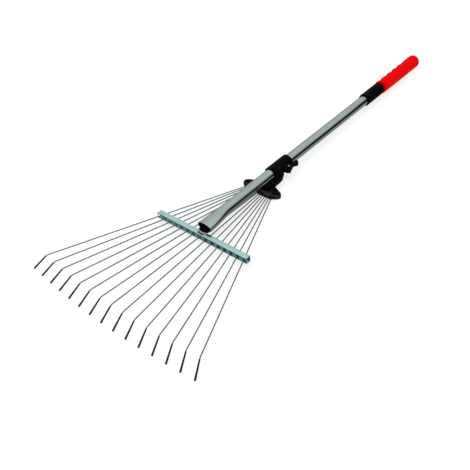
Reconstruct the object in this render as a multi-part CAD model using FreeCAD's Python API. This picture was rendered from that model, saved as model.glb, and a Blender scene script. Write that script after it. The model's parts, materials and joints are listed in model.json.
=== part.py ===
import FreeCAD, Part
import math
import os
from FreeCAD import Vector

# Adjustable steel leaf rake: fifteen wire tines fan out from a plate that slides on a telescopic pole.
# The model is drawn in the pole's own frame and laid on the ground at the end.
# Pole frame: x across the fan, y along the pole towards the grip, z up, zero at the crossbar's front web.
# Tine frame: the same, but its xy plane holds the fan of wires, which leans a little against the pole.

os.makedirs("parts", exist_ok=True)

X = Vector(1, 0, 0)
Y = Vector(0, 1, 0)
Z = Vector(0, 0, 1)
ORIGIN = Vector(0, 0, 0)

# Fan of tines
TINE_COUNT = 15
MIDDLE = 8
WIRE_R = 1.2
WINDOW_PITCH = 16.4
PIVOT_PITCH = 5.0
PIVOT_Y = 188.0
MIDDLE_TINE_LENGTH = 420.0
OUTER_TINE_EXTRA = 0.06
TIP_LENGTH = 38.0
TIP_ANGLE = math.radians(35.0)
BEND_R = 6.0
PEG_DEPTH = 3.4
TIP_ROOT_R = 1.5
TIP_END_R = 1.9
TIP_CORE = 16.0
FAN_DROP = 15.5
FAN_TILT = 1.53

# Slider travel, from fanned out to gathered
SLIDER_TRAVEL = 110.0

# Pole
TUBE_R = 12.5
TUBE_WALL = 1.1
TUBE_FRONT_Y = 16.0
FLARE_Y = 94.0
TUBE_END_Y = 648.0
INNER_R = 11.0
INNER_WALL = 1.2
INNER_FRONT_Y = 112.0
INNER_END_Y = 832.0
MOUTH_HALF_WIDTH = 17.8
MOUTH_TOP = 8.0
MOUTH_BOTTOM = 9.0
LIP_Y = 5.0
RUNNING_GAP = 0.05

# Crossbar: a box folded from sheet
BAR_HALF_LENGTH = 121.0
BAR_DEPTH = 12.8
BAR_HEIGHT = 14.5
BAR_SHEET = 1.4
BAR_FOLD_R = 2.2
FRONT_WINDOW_WIDTH = 7.6
BACK_WINDOW_WIDTH = 8.8
WINDOW_HEIGHT = 8.6
WINDOW_BOTTOM = -19.7
RIVET_X = 8.0
RIVET_Y = 8.2
RIVET_R = 2.0
RIVET_HEAD_R = 3.1
RIVET_FOOT_R = 2.4
NOTCH_HALF_WIDTH = 8.0
NOTCH_DEPTH = 6.5

# Tine plate, two halves that clamp the pivots
PLATE_FRONT_Y = 183.0
PLATE_BACK_Y = 226.0
PLATE_BACK_HALF = 15.0
EAR_X = 40.0
EAR_Y = 198.5
EAR_R = 9.5
EAR_HOLE_R = 3.0
PLATE_GAP = 1.5
PLATE_SHEET = 2.5
SPACER_Y = 191.5
SCREW_X = 14.0
SCREW_ROWS = (201.0, 219.0)
SCREW_R = 1.5
SCREW_HEAD_R = 2.7
SCREW_SINK = 1.6
SCREW_BITE = 5.0

# Slider housing and its cam lock
SLEEVE_R = 16.0
SLEEVE_BORE_R = 12.9
SLEEVE_FRONT_Y = 229.0
SLEEVE_END_Y = 292.0
NECK_TOP = -6.0
LEVER_PIN_X = 21.6
LEVER_PIN_Y = 268.0
LEVER_PIN_R = 2.0
CAM_R = 5.0
CAM_THROW = 0.8
LEVER_HALF_WIDTH = 5.5
LUG_THICKNESS = 3.0
SIDE_GAP = 0.3
PAD_OUTER_X = 15.5
PAD_HALF_WIDTH = 5.0
PAD_HALF_LENGTH = 6.0

# Twist lock
COLLAR_R = 15.5
COLLAR_CHAMFER = 1.2
FLUTE_COUNT = 16
FLUTE_R = 1.0
COLLAR_FRONT_Y = 608.0
COLLAR_END_Y = 681.0
COLLET_FRONT_Y = 626.0
COLLET_END_Y = 676.0
COLLET_R = 13.6
COLLET_MOUTH_R = 12.5
COLLET_SLOT = 1.6
BUSH_BORE_R = 8.0

# Grip
GRIP_R = 17.0
GRIP_FRONT_Y = 687.0
GRIP_END_Y = 866.0
GRIP_ROUND = 10.0
FINGER_PITCH = 26.5
FINGER_FIRST_Y = 703.0
FINGER_COUNT = 5
FINGER_DEPTH = 4.5
FINGER_CUT_R = 20.0
FINGER_SIDE = 150.0
HANG_HOLE_Y = 849.0
HANG_HOLE_R = 4.0


def bar(radius, start, end):
    """A round bar along the pole."""
    return Part.makeCylinder(radius, end - start, Vector(0, start, 0), Y)


def pipe(outer, inner, start, end):
    """A round tube along the pole."""
    return bar(outer, start, end).cut(bar(inner, start - 1, end + 1))


def block(x0, x1, y0, y1, z0, z1):
    return Part.makeBox(x1 - x0, y1 - y0, z1 - z0, Vector(x0, y0, z0))


def post(radius, x, y, z0, z1):
    """An upright round bar."""
    return Part.makeCylinder(radius, z1 - z0, Vector(x, y, z0), Z)


def prism(points, z0, z1):
    """A flat outline given as x, y pairs, raised from z0 to z1."""
    corners = [Vector(x, y, z0) for x, y in points]
    face = Part.Face(Part.makePolygon(corners + corners[:1]))
    return face.extrude(Vector(0, 0, z1 - z0))


def from_fan(shape):
    """Carry a shape from the tine frame into the pole frame."""
    moved = shape.copy()
    moved.rotate(ORIGIN, X, -FAN_TILT)
    moved.translate(Vector(0, 0, -FAN_DROP))
    return moved


def fan_angle(step, travel):
    """Angle that a straight tine through its window makes with the pole."""
    return math.atan(step * (WINDOW_PITCH - PIVOT_PITCH) / (PIVOT_Y + travel))


def coupling_ratio(step):
    """Turn of a tine for each unit of slider travel, from one end of the travel to the other."""
    return (fan_angle(step, SLIDER_TRAVEL) - fan_angle(step, 0)) / SLIDER_TRAVEL


def crossing(step, travel, web_y):
    """Where a tine passes a web of the crossbar, at the given slider travel."""
    angle = fan_angle(step, 0) + coupling_ratio(step) * travel
    return step * PIVOT_PITCH + (PIVOT_Y + travel - web_y) * math.tan(angle)


def window_centre(step, web_y):
    """Middle of the band that the tine sweeps in a web."""
    spots = [crossing(step, SLIDER_TRAVEL * k / 10, web_y) for k in range(11)]
    return (min(spots) + max(spots)) / 2


def tine_length(step):
    share = step / (MIDDLE - 1)
    return MIDDLE_TINE_LENGTH * (1 + OUTER_TINE_EXTRA * share * share)


def tine_points(step):
    """Pivot, bend and tip end of one tine in the tine frame."""
    angle = fan_angle(step, 0)
    along = Vector(math.sin(angle), -math.cos(angle), 0)
    pivot = Vector(step * PIVOT_PITCH, PIVOT_Y, 0)
    bend = pivot + along * tine_length(step)
    fall = along * math.cos(TIP_ANGLE) - Z * math.sin(TIP_ANGLE)
    return pivot, bend, fall, along


def make_tine(step):
    """One wire: a peg down into the plate, a long straight run and a bent end inside the tip."""
    pivot, bend, fall, along = tine_points(step)
    setback = BEND_R * math.tan(TIP_ANGLE / 2)
    a = bend - along * setback
    b = bend + fall * setback
    middle = bend + (fall - along).normalize() * BEND_R * (1 / math.cos(TIP_ANGLE / 2) - 1)
    path = Part.Wire([
        Part.LineSegment(pivot, a).toShape(),
        Part.Arc(a, middle, b).toShape(),
        Part.LineSegment(b, bend + fall * TIP_CORE).toShape(),
    ])
    section = Part.Wire([Part.Circle(pivot, along, WIRE_R).toShape()])
    wire = path.makePipeShell([section], True, False)
    peg = Part.makeCylinder(WIRE_R, PEG_DEPTH, pivot, Z * -1)
    knee = Part.makeSphere(WIRE_R, pivot)
    return from_fan(wire.fuse([peg, knee]).removeSplitter())


def make_tip(step):
    """The black tip moulded on the bent end, a little thicker towards the ground."""
    pivot, bend, fall, along = tine_points(step)
    start = bend + fall * (BEND_R * math.tan(TIP_ANGLE / 2) + 0.5)
    end = bend + fall * (TIP_LENGTH - TIP_END_R)
    cone = Part.makeCone(TIP_ROOT_R, TIP_END_R, (end - start).Length, start, fall)
    tip = cone.fuse(Part.makeSphere(TIP_END_R, end)).removeSplitter()
    core = Part.makeCylinder(WIRE_R, TIP_CORE, bend, fall)
    return from_fan(tip.cut(core))


def mouth_section(share, inset, y):
    """Closed outline of the tube: round at share 0, flattened to a broad D at share 1."""
    half_width = TUBE_R + (MOUTH_HALF_WIDTH - TUBE_R) * share - inset
    top = TUBE_R + (MOUTH_TOP - TUBE_R) * share - inset
    bottom = TUBE_R + (MOUTH_BOTTOM - TUBE_R) * share - inset
    power = 1 - 0.55 * share
    points = []
    for k in range(32):
        angle = 2 * math.pi * k / 32
        c = math.cos(angle)
        s = math.sin(angle)
        if s >= 0:
            points.append(Vector(half_width * c, y, top * s))
        else:
            x = half_width * math.copysign(abs(c) ** power, c)
            points.append(Vector(x, y, -bottom * abs(s) ** power))
    curve = Part.BSplineCurve()
    curve.interpolate(points, PeriodicFlag=True)
    return Part.Wire([curve.toShape()])


def flare(inset, overrun):
    """Solid of the flared end, shrunk by inset, lengthened by overrun at the front."""
    stations = 7
    sections = []
    for k in range(stations):
        t = k / (stations - 1)
        share = t * t * (3 - 2 * t)
        sections.append(mouth_section(share, inset, FLARE_Y + (TUBE_FRONT_Y - FLARE_Y) * t))
    sections.append(mouth_section(1, inset, LIP_Y - overrun))
    return Part.makeLoft(sections, True, False)


def round_part(inset, overrun):
    """Solid of the straight tube behind the flare, drawn from the flare's own first outline."""
    face = Part.Face(mouth_section(0, inset, FLARE_Y))
    return face.extrude(Y * (TUBE_END_Y - FLARE_Y + overrun))


def make_outer_tube():
    """Pole tube; its front end is flattened into a D that lies on the crossbar, with a lip below."""
    skin = round_part(0, 0).fuse(flare(0, 0))
    hollow = round_part(TUBE_WALL, 5).fuse(flare(TUBE_WALL, 5))
    cuts = [hollow, block(-30, 30, LIP_Y - 10, TUBE_FRONT_Y, -MOUTH_BOTTOM + 1.6, 30)]
    for side in (-1, 1):
        cuts.append(post(RIVET_R, side * RIVET_X, RIVET_Y, -15, 0))
    return skin.cut(cuts)


def make_crossbar():
    """Box folded from sheet: a top flange under the tube and two webs with a window for each tine."""
    top = -MOUTH_BOTTOM
    low = top - BAR_HEIGHT
    front = -BAR_SHEET / 2
    back = front + BAR_DEPTH
    outer = block(-BAR_HALF_LENGTH, BAR_HALF_LENGTH, front, back, low, top)
    folds = [e for e in outer.Edges if e.Length > BAR_HALF_LENGTH]
    outer = outer.makeFillet(BAR_FOLD_R, folds)
    inner = block(-200, 200, front + BAR_SHEET, back - BAR_SHEET, low + BAR_SHEET, top - BAR_SHEET)
    folds = [e for e in inner.Edges if e.Length > 300]
    inner = inner.makeFillet(BAR_FOLD_R - BAR_SHEET, folds)
    box = outer.cut(inner)
    cuts = []
    for step in range(1 - MIDDLE, MIDDLE):
        for web, width in ((0, FRONT_WINDOW_WIDTH), (BAR_DEPTH - BAR_SHEET, BACK_WINDOW_WIDTH)):
            x = window_centre(step, web)
            half = width / 2
            window_top = WINDOW_BOTTOM + WINDOW_HEIGHT
            cuts.append(block(x - half, x + half, web - 2, web + 2, WINDOW_BOTTOM, window_top))
    for side in (-1, 1):
        cuts.append(post(RIVET_R, side * RIVET_X, RIVET_Y, top - 5, top + 5))
    notch_front = front + BAR_SHEET
    notch_back = front + NOTCH_DEPTH
    cuts.append(block(-NOTCH_HALF_WIDTH, NOTCH_HALF_WIDTH, notch_front, notch_back, top - 3, top + 3))
    return box.cut(cuts)


def make_crossbar_rivets():
    """Two solid rivets through the tube's flat floor and the top flange."""
    floor_top = -MOUTH_BOTTOM + TUBE_WALL
    under = -MOUTH_BOTTOM - BAR_SHEET
    rivets = []
    for side in (-1, 1):
        x = side * RIVET_X
        shank = post(RIVET_R, x, RIVET_Y, under - 0.2, floor_top + 0.3)
        head = Part.makeCone(RIVET_HEAD_R, RIVET_R + 0.2, 1.4, Vector(x, RIVET_Y, floor_top + 0.3), Z)
        foot = Part.makeCone(RIVET_FOOT_R, RIVET_R + 0.1, 1.0, Vector(x, RIVET_Y, under - 0.2), Z * -1)
        rivets.append(shank.fuse([head, foot]).removeSplitter())
    return Part.makeCompound(rivets)


def plate_outline(z0, z1):
    """Wing outline: straight front edge, a round ear each side and a back that narrows to the neck."""
    ear_front = EAR_X - EAR_R * 0.55
    lean = math.radians(62.0)
    back_x = EAR_X + EAR_R * math.cos(lean)
    back_y = EAR_Y + EAR_R * math.sin(lean)
    half = [(ear_front, PLATE_FRONT_Y), (EAR_X + EAR_R * 0.35, EAR_Y - EAR_R * 0.94), (back_x, back_y),
            (PLATE_BACK_HALF + 6, PLATE_BACK_Y - 8), (PLATE_BACK_HALF, PLATE_BACK_Y)]
    outline = half + [(-x, y) for x, y in reversed(half)]
    plate = prism(outline, z0, z1)
    ears = [post(EAR_R, side * EAR_X, EAR_Y, z0, z1) for side in (-1, 1)]
    return plate.fuse(ears).removeSplitter()


def plate_holes(z0, z1):
    return [post(EAR_HOLE_R, side * EAR_X, EAR_Y, z0, z1) for side in (-1, 1)]


def screw_spots():
    return [(side * SCREW_X, y) for y in SCREW_ROWS for side in (-1, 1)]


def make_tine_plate_top():
    """Upper half of the tine plate, flat, screwed up against the neck of the housing."""
    plate = plate_outline(PLATE_GAP, PLATE_GAP + PLATE_SHEET)
    cuts = plate_holes(0, 10) + [post(SCREW_R, x, y, 0, 10) for x, y in screw_spots()]
    return from_fan(plate.cut(cuts))


def make_tine_plate_bottom():
    """Lower half: a raised back part closes the pocket, and each tine peg turns in its own hole."""
    low = -PLATE_GAP - PLATE_SHEET
    plate = plate_outline(low, -PLATE_GAP)
    raised = plate_outline(-PLATE_GAP, PLATE_GAP).cut(block(-100, 100, 0, SPACER_Y, -10, 10))
    cuts = plate_holes(-10, 10)
    for step in range(1 - MIDDLE, MIDDLE):
        cuts.append(post(WIRE_R + RUNNING_GAP, step * PIVOT_PITCH, PIVOT_Y, low - 1, 0))
    for x, y in screw_spots():
        cuts.append(post(SCREW_R, x, y, -10, 10))
        cuts.append(post(SCREW_HEAD_R + 0.2, x, y, low - 1, low + SCREW_SINK))
    return from_fan(plate.fuse(raised).removeSplitter().cut(cuts))


def make_plate_screws():
    """Four pan screws from below, their heads sunk into the lower half."""
    low = -PLATE_GAP - PLATE_SHEET
    screws = []
    for x, y in screw_spots():
        shank = post(SCREW_R, x, y, low + SCREW_SINK, PLATE_GAP + PLATE_SHEET + SCREW_BITE)
        head = post(SCREW_HEAD_R, x, y, low + 0.1, low + SCREW_SINK)
        drive = block(x - 2.2, x + 2.2, y - 0.35, y + 0.35, low, low + 0.8)
        screws.append(shank.fuse(head).removeSplitter().cut(drive))
    return from_fan(Part.makeCompound(screws))


def make_slider_housing():
    """Sleeve round the pole, a neck below it for the tine plate, and two lugs for the cam lever."""
    sleeve = bar(SLEEVE_R, SLEEVE_FRONT_Y, SLEEVE_END_Y)
    rims = [e for e in sleeve.Edges if len(e.Vertexes) == 1]
    sleeve = sleeve.makeFillet(1.5, rims)
    half = [(11, 264), (20, 246), (22, 236), (23, 216), (18, 194.5)]
    neck = prism(half + [(-x, y) for x, y in reversed(half)], -30, NECK_TOP)
    under = from_fan(block(-60, 60, 100, 400, -40, PLATE_GAP + PLATE_SHEET))
    neck = neck.cut(under)
    lug_low = LEVER_HALF_WIDTH + SIDE_GAP
    body = sleeve.fuse(neck)
    for side in (-1, 1):
        z0 = min(side * lug_low, side * (lug_low + LUG_THICKNESS))
        lug = block(8, LEVER_PIN_X, LEVER_PIN_Y - 6, LEVER_PIN_Y + 6, z0, z0 + LUG_THICKNESS)
        boss = post(4.6, LEVER_PIN_X, LEVER_PIN_Y, z0, z0 + LUG_THICKNESS)
        body = body.fuse([lug, boss])
    cuts = [bar(SLEEVE_BORE_R, 150, 400)]
    recess_x = PAD_OUTER_X + 0.05
    cuts.append(block(recess_x, 60, LEVER_PIN_Y - 12, SLEEVE_END_Y + 5, -lug_low, lug_low))
    pad_gap = 0.1
    window_length = PAD_HALF_LENGTH + pad_gap
    window_width = PAD_HALF_WIDTH + pad_gap
    cuts.append(block(5, 60, LEVER_PIN_Y - window_length, LEVER_PIN_Y + window_length,
                      -window_width, window_width))
    cuts.append(post(LEVER_PIN_R, LEVER_PIN_X, LEVER_PIN_Y, -20, 20))
    for x, y in screw_spots():
        cuts.append(from_fan(post(SCREW_R, x, y, 0, PLATE_GAP + PLATE_SHEET + SCREW_BITE)))
    return body.cut(cuts).removeSplitter()


def make_brake_pad():
    """Rubber shoe in the sleeve's window, hollowed to the tube, pressed by the cam."""
    pad = block(8, PAD_OUTER_X, LEVER_PIN_Y - PAD_HALF_LENGTH, LEVER_PIN_Y + PAD_HALF_LENGTH,
                -PAD_HALF_WIDTH, PAD_HALF_WIDTH)
    return pad.cut(bar(TUBE_R + SIDE_GAP, 200, 320))


def make_lever_pin():
    reach = LEVER_HALF_WIDTH + SIDE_GAP + LUG_THICKNESS
    return post(LEVER_PIN_R, LEVER_PIN_X, LEVER_PIN_Y, -reach, reach)


def make_cam_lever():
    """Cam lever: an off-centre round hub and a finger tab that lies along the pole when locked."""
    width = LEVER_HALF_WIDTH
    hub_x = LEVER_PIN_X - CAM_THROW
    hub = post(CAM_R, hub_x, LEVER_PIN_Y, -width, width)
    inner_x = PAD_OUTER_X + 0.5
    arm = prism([(inner_x + 0.4, LEVER_PIN_Y), (inner_x, 284), (inner_x, 293), (17, 295.5), (17.5, 298.5),
                 (20.5, 299.5), (25.5, 297.5), (26.2, 294), (21.6, 288), (21.6, 282), (26.2, 271),
                 (26.2, LEVER_PIN_Y)], -width, width)
    lever = hub.fuse(arm).removeSplitter()
    return lever.cut(post(LEVER_PIN_R + RUNNING_GAP, LEVER_PIN_X, LEVER_PIN_Y, -20, 20))


def make_lock_collet():
    """Split collet of the twist lock: a socket over the outer tube and four fingers round the inner one."""
    taper_y = TUBE_END_Y + 6
    body = bar(COLLET_R, COLLET_FRONT_Y, taper_y)
    fingers = Part.makeCone(COLLET_R, COLLET_MOUTH_R, COLLET_END_Y - taper_y, Vector(0, taper_y, 0), Y)
    collet = body.fuse(fingers)
    cuts = [bar(TUBE_R, COLLET_FRONT_Y - 1, TUBE_END_Y)]
    cuts.append(bar(INNER_R + 0.1, COLLET_FRONT_Y, COLLET_END_Y + 1))
    slot = block(-COLLET_SLOT / 2, COLLET_SLOT / 2, taper_y + 2, COLLET_END_Y + 1, -30, 30)
    cuts.append(slot)
    crossed = slot.copy()
    crossed.rotate(ORIGIN, Y, 90)
    cuts.append(crossed)
    return collet.cut(cuts)


def make_twist_collar():
    """Threaded collar that squeezes the collet when it is turned, knurled with shallow flutes."""
    collar = bar(COLLAR_R, COLLAR_FRONT_Y, COLLAR_END_Y)
    rims = [e for e in collar.Edges if len(e.Vertexes) == 1]
    collar = collar.makeChamfer(COLLAR_CHAMFER, rims)
    cuts = [bar(TUBE_R + 0.4, COLLAR_FRONT_Y - 1, COLLAR_END_Y - 20),
            bar(COLLET_R + SIDE_GAP, COLLET_FRONT_Y - 1, COLLET_END_Y + 1),
            bar(INNER_R + 0.4, COLLAR_FRONT_Y, COLLAR_END_Y + 1)]
    for k in range(FLUTE_COUNT):
        angle = math.radians(360 * k / FLUTE_COUNT)
        spot = Vector(math.cos(angle), 0, math.sin(angle)) * (COLLAR_R + 0.5)
        cuts.append(Part.makeCylinder(FLUTE_R, 40, spot + Y * (COLLAR_FRONT_Y + 26), Y))
    return collar.cut(cuts)


def make_inner_tube():
    return pipe(INNER_R, INNER_R - INNER_WALL, INNER_FRONT_Y, INNER_END_Y)


def make_guide_bush():
    """Plastic bush on the inner tube's front end, a running fit inside the outer tube."""
    head = pipe(TUBE_R - TUBE_WALL - RUNNING_GAP, BUSH_BORE_R, INNER_FRONT_Y - 10, INNER_FRONT_Y)
    spigot = pipe(INNER_R - INNER_WALL, BUSH_BORE_R, INNER_FRONT_Y, INNER_FRONT_Y + 20)
    return head.fuse(spigot).removeSplitter()


def make_tube_end_plug():
    """Plug that closes the inner tube inside the grip."""
    return bar(INNER_R - INNER_WALL, INNER_END_Y - 15, INNER_END_Y)


def make_hand_grip():
    """Rubber grip: round, with finger hollows down one side, closed and drilled at the end."""
    grip = bar(GRIP_R, GRIP_FRONT_Y, GRIP_END_Y)
    front = [e for e in grip.Edges if len(e.Vertexes) == 1 and e.CenterOfMass.y < GRIP_FRONT_Y + 1]
    grip = grip.makeFillet(2.0, front)
    back = [e for e in grip.Edges if len(e.Vertexes) == 1 and e.CenterOfMass.y > GRIP_END_Y - 1]
    grip = grip.makeFillet(GRIP_ROUND, back)
    side = math.radians(FINGER_SIDE)
    out = Vector(math.cos(side), 0, math.sin(side))
    across = Vector(-math.sin(side), 0, math.cos(side))
    cuts = [bar(INNER_R, GRIP_FRONT_Y - 1, INNER_END_Y)]
    for k in range(FINGER_COUNT):
        y = FINGER_FIRST_Y + FINGER_PITCH * k
        centre = out * (GRIP_R + FINGER_CUT_R - FINGER_DEPTH) + Y * y
        cuts.append(Part.makeCylinder(FINGER_CUT_R, 80, centre - across * 40, across))
    cuts.append(Part.makeCylinder(HANG_HOLE_R, 60, Vector(-30, HANG_HOLE_Y, 0), X))
    return grip.cut(cuts)


def build():
    """All nodes in the pole frame."""
    shapes = {
        "outer_tube": make_outer_tube(),
        "crossbar": make_crossbar(),
        "crossbar_rivets": make_crossbar_rivets(),
        "lock_collet": make_lock_collet(),
        "twist_collar": make_twist_collar(),
        "inner_tube": make_inner_tube(),
        "tube_guide_bush": make_guide_bush(),
        "tube_end_plug": make_tube_end_plug(),
        "hand_grip": make_hand_grip(),
        "slider_housing": make_slider_housing(),
        "brake_pad": make_brake_pad(),
        "lever_pin": make_lever_pin(),
        "cam_lever": make_cam_lever(),
        "tine_plate_top": make_tine_plate_top(),
        "tine_plate_bottom": make_tine_plate_bottom(),
        "plate_screws": make_plate_screws(),
    }
    for number in range(1, TINE_COUNT + 1):
        shapes["tine_%02d" % number] = make_tine(number - MIDDLE)
        shapes["tine_tip_%02d" % number] = make_tip(number - MIDDLE)
    return shapes


def tip_end_centre(step):
    """Centre of the round tip end, in the pole frame."""
    pivot, bend, fall, along = tine_points(step)
    mark = Part.Vertex(bend + fall * (TIP_LENGTH - TIP_END_R))
    return from_fan(mark).Point


def ground_placement():
    """Lay the rake on its tips and its grip, with the origin under the middle of its box."""
    tip = tip_end_centre(0)
    contact_y = GRIP_END_Y - GRIP_ROUND
    pitch = -math.atan((-tip.z + TIP_END_R - GRIP_R) / (contact_y - tip.y))
    turn = FreeCAD.Rotation(X, math.degrees(pitch))
    tips = [turn.multVec(tip_end_centre(step)) for step in range(MIDDLE)]
    front = min(p.y for p in tips) - TIP_END_R
    back = turn.multVec(Vector(0, GRIP_END_Y, GRIP_R - GRIP_ROUND)).y
    low = min(p.z for p in tips) - TIP_END_R
    return FreeCAD.Placement(Vector(0, -(front + back) / 2, -low), turn)


PLACE = ground_placement()


def main():
    for name, shape in build().items():
        placed = shape.copy()
        placed.Placement = PLACE.multiply(placed.Placement)
        if not placed.isValid():
            print("not valid:", name)
        print(name, len(placed.Solids), round(placed.Volume, 1))
        placed.exportStep("parts/" + name + ".step")


main()
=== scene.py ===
import json
import math

import bmesh
import bpy
import numpy as np
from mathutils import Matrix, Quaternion, Vector


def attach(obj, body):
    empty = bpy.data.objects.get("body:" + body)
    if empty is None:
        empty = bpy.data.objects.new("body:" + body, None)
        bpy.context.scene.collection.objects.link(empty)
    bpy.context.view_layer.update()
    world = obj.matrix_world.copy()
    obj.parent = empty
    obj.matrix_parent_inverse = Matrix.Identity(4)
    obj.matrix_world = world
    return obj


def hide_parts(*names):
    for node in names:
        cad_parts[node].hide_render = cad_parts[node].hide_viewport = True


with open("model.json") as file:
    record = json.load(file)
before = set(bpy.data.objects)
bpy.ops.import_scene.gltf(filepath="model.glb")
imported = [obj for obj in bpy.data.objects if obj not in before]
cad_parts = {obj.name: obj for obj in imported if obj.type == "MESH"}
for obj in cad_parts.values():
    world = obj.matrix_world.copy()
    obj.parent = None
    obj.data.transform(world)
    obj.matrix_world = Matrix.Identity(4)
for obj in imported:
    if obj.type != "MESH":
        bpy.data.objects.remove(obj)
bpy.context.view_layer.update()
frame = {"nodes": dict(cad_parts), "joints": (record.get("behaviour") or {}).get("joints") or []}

nodes = frame["nodes"]
joints = {joint["name"]: joint for joint in frame["joints"]}


# ---------------------------------------------------------------- studio
# A pale floor under a large soft box, with two weaker boxes at the sides, and a pale surround.
# Bright metal mirrors a surround of its own: light above and below, with a dark band at the horizon
# that opens behind the rake's left side, so that round bars show one dark stripe.

scene = bpy.context.scene
scene.view_settings.view_transform = "Standard"

VIEW_TARGET = Vector((0.0688, -0.2702, 0.030))
VIEW_AZIMUTH = math.radians(45.31)
VIEW_ELEVATION = math.radians(41.51)
VIEW_ROLL = math.radians(-7.15)
VIEW_DISTANCE = 1.2064
LENS = 47.49
SENSOR = 36.0

towards_camera = Vector((
    math.sin(VIEW_AZIMUTH) * math.cos(VIEW_ELEVATION),
    -math.cos(VIEW_AZIMUTH) * math.cos(VIEW_ELEVATION),
    math.sin(VIEW_ELEVATION),
))
camera = bpy.data.objects.new("camera", bpy.data.cameras.new("camera"))
scene.collection.objects.link(camera)
camera.data.lens = LENS
camera.data.sensor_width = SENSOR
camera.data.clip_start = 0.02
camera.location = VIEW_TARGET + towards_camera * VIEW_DISTANCE
camera.rotation_mode = "QUATERNION"
camera.rotation_quaternion = (-towards_camera).to_track_quat("-Z", "Y") @ Quaternion((0, 0, 1), VIEW_ROLL)
scene.camera = camera


def soft_box(name, place, aim, size, power):
    """An area light of this width and height at place, turned to aim."""
    light = bpy.data.lights.new(name, "AREA")
    light.shape = "RECTANGLE"
    light.size, light.size_y = size
    light.energy = power
    lamp = bpy.data.objects.new(name, light)
    lamp.location = place
    lamp.rotation_mode = "QUATERNION"
    lamp.rotation_quaternion = (Vector(aim) - Vector(place)).to_track_quat("-Z", "Y")
    lamp.visible_glossy = False
    scene.collection.objects.link(lamp)


soft_box("overhead_box", (-0.3, 0.2, 2.4), (0, 0, 0), (2.6, 2.6), 20)
soft_box("left_box", (-2.2, -0.6, 1.3), (0, 0, 0), (1.2, 1.8), 5)
soft_box("back_box", (0.8, 2.4, 1.2), (0, 0.1, 0), (1.8, 1.0), 5)

FLOOR_REACH = 14.0
floor_mesh = bpy.data.meshes.new("floor")
floor_mesh.from_pydata(
    [(x, y, 0) for x, y in ((-FLOOR_REACH, -FLOOR_REACH), (FLOOR_REACH, -FLOOR_REACH),
                            (FLOOR_REACH, FLOOR_REACH), (-FLOOR_REACH, FLOOR_REACH))], [], [(0, 1, 2, 3)])
floor = bpy.data.objects.new("floor", floor_mesh)
floor.visible_glossy = False
scene.collection.objects.link(floor)
floor_paper = bpy.data.materials.new("floor_paper")
floor_paper.use_nodes = True
paper = floor_paper.node_tree.nodes["Principled BSDF"].inputs
paper["Base Color"].default_value = (0.26, 0.26, 0.26, 1)
paper["Emission Color"].default_value = (1, 1, 1, 1)
paper["Emission Strength"].default_value = 0.74
paper["Roughness"].default_value = 0.9
floor_mesh.materials.append(floor_paper)


def add(tree, kind, inputs=None, **settings):
    """A node of this kind in the tree; inputs are values or sockets by name or number."""
    node = tree.nodes.new(kind)
    for key, value in settings.items():
        setattr(node, key, value)
    for key, value in (inputs or {}).items():
        if isinstance(value, bpy.types.NodeSocket):
            tree.links.new(value, node.inputs[key])
        else:
            node.inputs[key].default_value = value
    return node


def number(tree, operation, first, second, third=0.0):
    """The result of one Math node."""
    return add(tree, "ShaderNodeMath", {0: first, 1: second, 2: third}, operation=operation).outputs[0]


def part_of(tree, value, low, high, to_low=0.0, to_high=1.0):
    """value taken from the range low..high to the range to_low..to_high, and held there."""
    return add(tree, "ShaderNodeMapRange", {0: value, 1: low, 2: high, 3: to_low, 4: to_high}).outputs[0]


def blended(tree, share, first, second):
    """Two colours mixed by share."""
    return add(tree, "ShaderNodeMix", {0: share, 6: first, 7: second}, data_type="RGBA").outputs[2]


PALE = (0.96, 0.97, 0.97, 1)
SURROUND_LIGHT = 0.92
# height of the direction seen, from -1 straight down to 1 straight up, and the brightness there
BANDED = ((-1.0, 0.30), (-0.50, 0.36), (-0.36, 0.40), (-0.29, 0.012),
          (0.31, 0.012), (0.42, 0.50), (0.62, 0.60), (1.0, 0.72))
OPEN = ((-1.0, 0.30), (-0.30, 0.40), (0.10, 0.47), (0.55, 0.56), (1.0, 0.70))
OPEN_SIDE = (-0.83, 0.55, 0.0)

world = bpy.data.worlds.new("studio")
scene.world = world
world.use_nodes = True
tree = world.node_tree
seen = add(tree, "ShaderNodeTexCoord").outputs["Generated"]
seen_height = add(tree, "ShaderNodeSeparateXYZ", {0: seen}).outputs["Z"]
ramp_place = number(tree, "MULTIPLY_ADD", seen_height, 0.5, 0.5)
ramps = []
for stops in (BANDED, OPEN):
    ramp = add(tree, "ShaderNodeValToRGB", {0: ramp_place})
    for height, light in stops[1:-1]:
        ramp.color_ramp.elements.new((height + 1) / 2)
    for element, (height, light) in zip(ramp.color_ramp.elements, stops):
        element.position = (height + 1) / 2
        element.color = (0.96 * light, light, light, 1)
    ramps.append(ramp.outputs[0])
facing = add(tree, "ShaderNodeVectorMath", {0: seen, 1: OPEN_SIDE}, operation="DOT_PRODUCT")
facing = facing.outputs["Value"]
mirrored = blended(tree, part_of(tree, facing, 0.45, 0.75), ramps[0], ramps[1])
plain_light = tree.nodes["Background"]
plain_light.inputs["Color"].default_value = PALE
plain_light.inputs["Strength"].default_value = SURROUND_LIGHT
mirror_light = add(tree, "ShaderNodeBackground", {"Color": mirrored})
ray = add(tree, "ShaderNodeLightPath")
both = add(tree, "ShaderNodeMixShader", {0: ray.outputs["Is Glossy Ray"], 1: plain_light.outputs[0],
                                         2: mirror_light.outputs[0]})
tree.links.new(both.outputs[0], tree.nodes["World Output"].inputs["Surface"])


# ---------------------------------------------------------------- pole tube
# Drawn steel tube, 25 mm across, bright zinc plated. Its front end is pressed into a wide D that sits on
# the crossbar, and a tongue at the bottom of the mouth is curled down into the bar's notch.

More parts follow.
